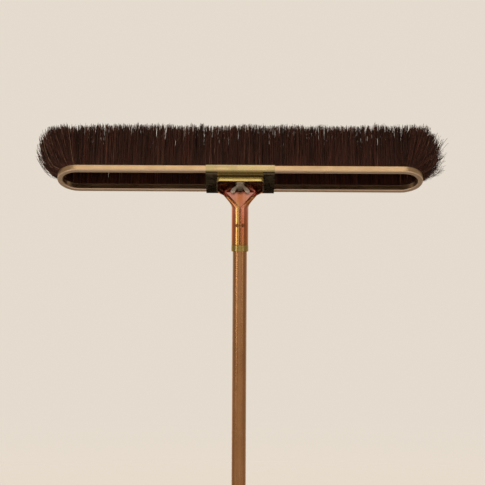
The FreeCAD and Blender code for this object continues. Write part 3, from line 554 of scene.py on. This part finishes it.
def makeCapPlastic(v):
    material, tree, shader = startMaterial("capPlastic")
    place = objectPlaceOf(tree)
    wear = placeGroup(tree, wearGroup, place, Reach=v["wearReach"], Patches=v["wearPatches"])
    smudge = placeGroup(tree, smudgeGroup, place, Size=v["smudgeSize"])
    grain = noiseNode(tree, place, v["grainPitch"])
    marks = times(tree, smudge["Dulled"], v["markAmount"])
    colour = mixColour(tree, marks, v["colour"], v["scuffed"])
    colour = mixColour(tree, wear["Worn"], colour, v["scuffed"])
    join(tree, colour, shader.inputs["Base Color"])
    join(tree, spread(tree, grain, *noiseSpan, v["roughLow"], v["roughHigh"]), shader.inputs["Roughness"])
    bump = addNode(tree, "ShaderNodeBump")
    bump.inputs["Strength"].default_value = v["bumpStrength"]
    bump.inputs["Distance"].default_value = v["bumpDepth"]
    join(tree, grain, bump.inputs["Height"])
    join(tree, bump.outputs[0], shader.inputs["Normal"])
    return material


nodeFinish = {
    "handle_tube": metals["handleSatin"],
    "hang_cap": makeCapPlastic(capValues),
    "socket_collar": metals["collarZinc"],
    "handle_socket": metals["socketZinc"],
    "brush_channel": metals["channelSatin"],
    "core_wire": metals["wireGalvanised"],
    "clamp_plate_front": metals["clampZinc"],
    "clamp_plate_back": metals["clampZinc"],
    "carriage_bolt": metals["boltZinc"],
    "flat_washer": metals["boltZinc"],
    "wing_nut": metals["nutZinc"],
}

for nodeName, finish in nodeFinish.items():
    slots = nodes[nodeName].material_slots
    if len(slots):
        for held in slots:
            held.link = "DATA"
            held.material = finish
    else:
        nodes[nodeName].data.materials.append(finish)
print("metal and plastic finishes given to", len(nodeFinish), "nodes")


# Bristles: every filament is its own bent, tapered strand

bristleValues = {
    "thickness": 0.30 * mm,  # half the width of the four-sided section
    "thicknessScatter": (0.78, 1.2),
    "taper": (0.92, 0.62),  # at the last bend and at the tip
    "rise": (5.6 * mm, 11.0 * mm, 86.0 * mm),  # root, the groove's mouth, tip
    "barOffset": 30.75 * mm,
    "barHalf": 270.0 * mm,
    "grooveHalf": 2.9 * mm,
    "ease": 1.25,  # above 1 a strand leaves the groove straighter and bends nearer its tip
    "pullPower": 3,
    "tuftScatter": (0.55 * mm, 1.2 * mm, 1.1 * mm),  # lean along, lean across, length
    "short": (0.06, (2, 9)),  # share of strands that are short, and by how many mm
    "long": (0.02, (1, 4)),
    # painted light: a few strands get the palest shades, standing in for bright streaks among the dark
    # strands
    "pale": {"row": 0.003, "end": 0.022},
    "paleFrom": 0.985,  # the part of the shades kept for pale strands
    # the straight rows
    "rowStrands": 6300,
    "rowBends": (58.0 * mm,),
    "rowScatter": 1.3 * mm,
    "rowDrift": 1.5 * mm,
    "driftWaves": ((0.5, 31.0, 1.0), (0.3, 83.0, 2.1), (0.2, 190.0, 3.7)),  # size, pitch, phase
    "rowTipScatter": (1.1 * mm, 0.8 * mm),
    "rowBow": 0.7 * mm,
    "tipHalf": 10.5 * mm,
    "tipShare": (0.75, 1.05),
    "tuftPitch": 3.6 * mm,
    "tuftPull": 0.40,
    # the flared ends
    "endStrands": 3600,
    "endTufts": 30,
    "endBends": (19.0 * mm, 34.0 * mm, 58.0 * mm),
    "endOuterAcross": 40.5 * mm,
    "endInner": (30.0 * mm, 20.6 * mm),
    "endSquare": 0.68,
    "endDrop": 19.0 * mm,
    "cornerRise": 0.8 * mm,
    "endScatter": 3.2 * mm,
    "endTipScatter": (1.3 * mm, 1.2 * mm),
    "endBow": 0.9 * mm,
    "endTall": 2.6,
    "endPull": (0.45, 1.0),
    "easeFrom": 1.1,
    "endEase": (0.35, 0.88),
    "splay": (0.90, 1.02),
    "lowShare": 0.26,
    "lowSplay": 0.12,
    "lowBy": (0, 40),
    # strands bent right out to the side
    "strayTurn": 1.2,
    "strayRise": (12, 68),
    "strayLonger": 0.15,
    "strayShare": (0.75, 1.12),
    "strayAcross": 0.6,
    "strayBow": (3, 1.5),
    "left": {"ragged": 2.2, "outer": 72.0 * mm, "strays": 90, "strayReach": 26.0 * mm},
    "right": {"ragged": 3.0, "outer": 67.5 * mm, "strays": 210, "strayReach": 37.0 * mm},
    # colour from darkest to palest strand, roots a little darker than tips; the palest stops are painted
    # light for the few pale strands
    "shades": (
        (0.00, (0.0257, 0.0097, 0.0078)),
        (0.35, (0.0513, 0.0189, 0.0135)),
        (0.62, (0.0810, 0.0277, 0.0189)),
        (0.84, (0.1242, 0.0419, 0.0284)),
        (0.955, (0.1755, 0.0675, 0.0459)),
        (0.985, (0.3240, 0.1755, 0.1148)),
        (1.00, (0.6200, 0.4400, 0.3200)),
    ),
    "rootToTip": (0.98, 1.10),
    "rough": 0.42,
    "specular": 0.35,
}


# The strands' colour comes from their own map: U runs root to tip, V differs strand by strand
def makeBristleFibre(v):
    material, tree, shader = startMaterial("bristleFibre")
    ownMap = addNode(tree, "ShaderNodeUVMap", uv_map="OFBake")
    parts = addNode(tree, "ShaderNodeSeparateXYZ")
    join(tree, ownMap.outputs[0], parts.inputs[0])
    along = spread(tree, parts.outputs["X"], 0.0, 1.0, *v["rootToTip"])
    shade = rampNode(tree, parts.outputs["Y"], v["shades"])
    join(tree, mixColour(tree, 1.0, shade, along, "MULTIPLY"), shader.inputs["Base Color"])
    shader.inputs["Roughness"].default_value = v["rough"]
    shader.inputs["Specular IOR Level"].default_value = v["specular"]
    return material


bristleFibre = makeBristleFibre(bristleValues)


# Slow rise and fall of the tips along a row
def drift(x, phase):
    waves = bristleValues["driftWaves"]
    return sum(size * math.sin(x * pitch + later * phase) for size, pitch, later in waves)


def makeTufts(draw, count):
    return [tuple(draw.gauss(0, s) for s in bristleValues["tuftScatter"]) for _ in range(count)]


def randomBow(draw, size):
    return (draw.gauss(0, size), draw.gauss(0, size))


# A strand from its root in the groove, straight through the groove's mouth, then bowed out to its tip
def strandPoints(root, tip, bow, pull, bends, ease=bristleValues["ease"]):
    low, mouth, high = bristleValues["rise"]
    points = [(*root, low), (*root, mouth)]
    for bend in bends:
        share = (bend - mouth) / (high - mouth)
        easy = share ** ease
        drawn = share ** bristleValues["pullPower"]  # how far the tuft has pulled it in by here
        points.append((
            root[0] + (tip[0] - root[0]) * easy + bow[0] + pull[0] * drawn,
            root[1] + (tip[1] - root[1]) * easy + bow[1] + pull[1] * drawn,
            mouth + (tip[2] - mouth) * share,
        ))
    points.append((tip[0] + pull[0], tip[1] + pull[1], tip[2]))
    return points


def lengthOff(draw, scatter):
    off = draw.gauss(0, scatter)
    for (share, by), way in ((bristleValues["short"], -1), (bristleValues["long"], 1)):
        if draw.random() < share:
            off += way * draw.uniform(*by) * mm
    return off


def rowStrands(seed, side, phase):
    v = bristleValues
    draw = random.Random(seed)
    span = 2 * v["barHalf"]
    tufts = makeTufts(draw, int(span / v["tuftPitch"]) + 2)
    strands = []
    for i in range(v["rowStrands"]):
        x = -v["barHalf"] + span * (i + draw.random()) / v["rowStrands"]
        across = draw.uniform(-1, 1)
        root = (x, side * v["barOffset"] + across * v["grooveHalf"])
        whole = int((x + v["barHalf"]) / v["tuftPitch"])
        centre = -v["barHalf"] + (whole + 0.5) * v["tuftPitch"]
        leanX, leanY, tall = tufts[whole]
        tipX = x + leanX + draw.gauss(0, v["rowTipScatter"][0])
        tipY = side * v["barOffset"] + across * v["tipHalf"] * draw.uniform(*v["tipShare"])
        tipY += leanY + draw.gauss(0, v["rowTipScatter"][1])
        tipZ = v["rise"][2] + v["rowDrift"] * drift(x, phase) + tall + lengthOff(draw, v["rowScatter"])
        bow = randomBow(draw, v["rowBow"])
        pull = ((centre - x) * v["tuftPull"] * draw.random(), 0)
        strands.append(strandPoints(root, (tipX, tipY, tipZ), bow, pull, v["rowBends"]))
    return strands, draw


def endStrands(seed, side, end):
    v = bristleValues
    ragged = end["ragged"]
    draw = random.Random(seed)
    tufts = makeTufts(draw, v["endTufts"])
    inX, inY = v["endInner"]
    strands = []
    for i in range(v["endStrands"]):
        around = (i + draw.random()) / v["endStrands"]
        turn = math.pi * (around - 0.5)
        across = draw.uniform(-1, 1)
        radius = v["barOffset"] + across * v["grooveHalf"]
        root = (side * (v["barHalf"] + radius * math.cos(turn)), radius * math.sin(turn))
        share = (across + 1) / 2
        whole = int(around * v["endTufts"] * 0.999)  # never past the last tuft
        leanX, leanY, tall = tufts[whole]
        outward = abs(math.cos(turn)) ** v["endSquare"]
        sideways = math.copysign(abs(math.sin(turn)) ** v["endSquare"], turn)
        splay = draw.uniform(*v["splay"])
        low = 0
        if draw.random() < v["lowShare"]:  # bent further out, so lower at the tip
            extra = draw.random()
            splay += v["lowSplay"] * extra * math.cos(turn)
            low = draw.uniform(*v["lowBy"]) * mm * extra * math.cos(turn)
        reachX = splay * (inX + (end["outer"] - inX) * share)
        reachY = splay * (inY + (v["endOuterAcross"] - inY) * share)
        tipX = side * (v["barHalf"] + reachX * outward) + ragged * leanX
        tipX += draw.gauss(0, v["endTipScatter"][0])
        tipY = reachY * sideways + ragged * leanY + draw.gauss(0, v["endTipScatter"][1])
        tipZ = v["rise"][2] - v["endDrop"] * (share * math.cos(turn)) ** 2 - low
        tipZ += v["endTall"] * tall + lengthOff(draw, v["endScatter"])
        tipZ += v["cornerRise"] * abs(math.sin(2 * turn))
        gathered = math.pi * ((whole + 0.5) / v["endTufts"] - 0.5)
        pullBy = draw.uniform(*v["endPull"])
        pull = (
            side * reachX * (math.cos(gathered) - math.cos(turn)) * pullBy,
            reachY * (math.sin(gathered) - math.sin(turn)) * pullBy,
        )
        bow = randomBow(draw, v["endBow"])
        ease = v["easeFrom"] - share * outward * draw.uniform(*v["endEase"])
        strands.append(strandPoints(root, (tipX, tipY, tipZ), bow, pull, v["endBends"], ease))
    # a few that have been bent right out to the side
    for _ in range(end["strays"]):
        turn = draw.uniform(-v["strayTurn"], v["strayTurn"])
        rootX = side * (v["barHalf"] + v["barOffset"] * math.cos(turn))
        rootY = v["barOffset"] * math.sin(turn)
        height = draw.uniform(*v["strayRise"]) * mm
        reach = (end["strayReach"] + v["strayLonger"] * height) * draw.uniform(*v["strayShare"])
        tipX = rootX + side * reach * math.cos(turn)
        tipY = rootY + v["strayAcross"] * reach * math.sin(turn)
        bow = (side * draw.uniform(0, v["strayBow"][0]) * mm, draw.gauss(0, v["strayBow"][1] * mm))
        tip = (tipX, tipY, v["rise"][1] + height)
        strands.append(strandPoints((rootX, rootY), tip, bow, (0, 0), v["endBends"]))
    return strands, draw


# Strands become one curve with a four-sided section, then a mesh with the map that its colour reads
def makeBristlePiece(name, made, node):
    strands, draw = made
    v = bristleValues
    curve = bpy.data.curves.new(name, "CURVE")
    curve.dimensions = "3D"
    curve.bevel_depth = v["thickness"]
    curve.bevel_resolution = 0
    curve.use_fill_caps = True
    taper = [1.0] * (len(strands[0]) - 2) + list(v["taper"])
    for points in strands:
        spline = curve.splines.new("POLY")
        spline.points.add(len(points) - 1)
        thick = draw.uniform(*v["thicknessScatter"])
        flat = []
        for p in points:
            w = headPlace @ Vector(p)
            flat.extend((w.x, w.y, w.z, 1.0))
        spline.points.foreach_set("co", flat)
        spline.points.foreach_set("radius", [thick * t for t in taper])
    holder = bpy.data.objects.new(name + "Lines", curve)
    scene.collection.objects.link(holder)
    ready = holder.evaluated_get(bpy.context.evaluated_depsgraph_get())
    mesh = bpy.data.meshes.new_from_object(ready)
    bpy.data.objects.remove(holder)
    piece = bpy.data.objects.new(name, mesh)
    scene.collection.objects.link(piece)
    cornersEach = len(mesh.vertices) // len(strands)
    corner = np.empty(len(mesh.loops), np.int32)
    mesh.loops.foreach_get("vertex_index", corner)
    # painted light: a few strands, more at the ends, take the palest shades
    pale = v["pale"]["end" if "end" in node else "row"]
    paleFrom = v["paleFrom"]
    shade = np.array([
        draw.uniform(paleFrom, 1) if draw.random() < pale else paleFrom * draw.random() for _ in strands
    ])
    ring = np.minimum((corner % cornersEach) // 4, len(taper) - 1)
    for old in list(mesh.uv_layers):
        mesh.uv_layers.remove(old)
    layer = mesh.uv_layers.new(name="OFBake")
    uv = np.column_stack((ring / (len(taper) - 1), shade[corner // cornersEach]))
    layer.data.foreach_set("uv", uv.astype(np.float32).ravel())
    mesh.materials.clear()
    mesh.materials.append(bristleFibre)
    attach(piece, "brush_head")
    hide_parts(node)
    print(name, len(strands), "strands,", cornersEach, "corners each,", len(mesh.polygons), "faces")


front = rowStrands(seed=11, side=-1, phase=0.4)
back = rowStrands(seed=23, side=1, phase=1.9)
left = endStrands(seed=37, side=-1, end=bristleValues["left"])
right = endStrands(seed=41, side=1, end=bristleValues["right"])
makeBristlePiece("bristles_front", front, "bristle_row_front")
makeBristlePiece("bristles_back", back, "bristle_row_back")
makeBristlePiece("bristles_left", left, "bristle_end_left")
makeBristlePiece("bristles_right", right, "bristle_end_right")


# Floor, a dark card for the metal to mirror, and surroundings

floorValues = {
    "radius": 9.0, "fadeFrom": 2.5, "below": 0.3 * mm, "colour": (0.80, 0.74, 0.66), "rough": 0.7,
    "sides": 96, "mottle": 0.25, "mottlePitch": 3.0, "mottleTone": 0.9,
    "lift": 0.62,  # how much paler it is shown than it is lit
    "frontLift": 0.45, "frontFrom": (0.3, 0.8),  # how much brighter the metal sees it in front
}
flagValues = {"place": (0, 0.95, 0.55), "half": (1.2, 0.62, 1), "colour": (0.01, 0.01, 0.01)}
skyValues = {
    "shown": (0.78, 0.71, 0.62),
    "mirrored": (0.30, 0.235, 0.175),
    "behind": (0.72, 0.57, 0.43),  # what the metal mirrors of the bright side behind the broom
    "behindFrom": (0.25, 0.75), "level": (-0.6, -0.3),
}


def addMesh(name, bm, material):
    mesh = bpy.data.meshes.new(name)
    bm.to_mesh(mesh)
    bm.free()
    mesh.materials.append(material)
    made = bpy.data.objects.new(name, mesh)
    scene.collection.objects.link(made)
    return made


def makeFloor(v):
    material, tree, shader = startMaterial("paleFloor")
    place = objectPlaceOf(tree)
    clouds = noiseNode(tree, place, v["mottlePitch"], detail=4.0)
    tone = spread(tree, clouds, *noiseSpan, 0.0, v["mottle"])
    darker = tuple(part * v["mottleTone"] for part in v["colour"])
    join(tree, mixColour(tree, tone, v["colour"], darker), shader.inputs["Base Color"])
    shader.inputs["Roughness"].default_value = v["rough"]
    length = addNode(tree, "ShaderNodeVectorMath", operation="LENGTH")
    join(tree, place, length.inputs[0])
    fade = spread(tree, length.outputs["Value"], v["fadeFrom"], v["radius"])
    clear = addNode(tree, "ShaderNodeBsdfTransparent")
    glow = addNode(tree, "ShaderNodeEmission")
    glow.inputs["Color"].default_value = (*v["colour"], 1)
    sight = addNode(tree, "ShaderNodeLightPath").outputs
    inFront = spread(tree, alongNode(tree, place, (0, -1, 0)), *v["frontFrom"], 0.0, v["frontLift"])
    mirrored = times(tree, sight["Is Glossy Ray"], inFront)
    seen = times(tree, sight["Is Camera Ray"], v["lift"])
    join(tree, mathNode(tree, "ADD", seen, mirrored), glow.inputs["Strength"])
    lit = addNode(tree, "ShaderNodeAddShader")
    join(tree, shader.outputs[0], lit.inputs[0])
    join(tree, glow.outputs[0], lit.inputs[1])
    blend = addNode(tree, "ShaderNodeMixShader")
    for number, source in enumerate((fade, lit.outputs[0], clear.outputs[0])):
        join(tree, source, blend.inputs[number])
    join(tree, blend.outputs[0], tree.nodes["Material Output"].inputs["Surface"])

    bm = bmesh.new()
    bmesh.ops.create_circle(bm, cap_ends=True, segments=v["sides"], radius=v["radius"])
    bmesh.ops.translate(bm, verts=bm.verts, vec=(0, 0, -v["below"]))
    floor = addMesh("floor", bm, material)


# A dark card low behind the head, seen only in the metal's reflections
def makeFlag(v):
    material, _, shader = startMaterial("flagBlack")
    shader.inputs["Base Color"].default_value = (*v["colour"], 1)
    shader.inputs["Roughness"].default_value = 1.0
    shader.inputs["Specular IOR Level"].default_value = 0.0

    bm = bmesh.new()
    bmesh.ops.create_grid(bm, x_segments=1, y_segments=1, size=1.0)
    bmesh.ops.scale(bm, verts=bm.verts, vec=v["half"])
    bmesh.ops.translate(bm, verts=bm.verts, vec=v["place"])
    flag = addMesh("flag", bm, material)
    flag.visible_camera = False
    flag.visible_diffuse = False
    flag.visible_shadow = False
    flag.visible_transmission = False


def makeSky(v):
    world = bpy.data.worlds.new("studio")
    scene.world = world
    world.use_nodes = True
    tree = world.node_tree
    tree.nodes.clear()
    shown = addNode(tree, "ShaderNodeBackground")
    shown.inputs["Color"].default_value = (*v["shown"], 1)
    mirrored = addNode(tree, "ShaderNodeBackground")
    way = addNode(tree, "ShaderNodeSeparateXYZ")
    join(tree, addNode(tree, "ShaderNodeTexCoord").outputs["Generated"], way.inputs[0])
    behind = spread(tree, way.outputs["Y"], *v["behindFrom"])
    level = spread(tree, way.outputs["Z"], *v["level"])
    around = mixColour(tree, times(tree, behind, level), v["mirrored"], v["behind"])
    join(tree, around, mirrored.inputs["Color"])
    ray = addNode(tree, "ShaderNodeLightPath")
    blend = addNode(tree, "ShaderNodeMixShader")
    sources = (ray.outputs["Is Camera Ray"], mirrored.outputs[0], shown.outputs[0])
    for number, source in enumerate(sources):
        join(tree, source, blend.inputs[number])
    join(tree, blend.outputs[0], addNode(tree, "ShaderNodeOutputWorld").inputs["Surface"])


makeFloor(floorValues)
makeFlag(flagValues)
makeSky(skyValues)
print("stage ready")
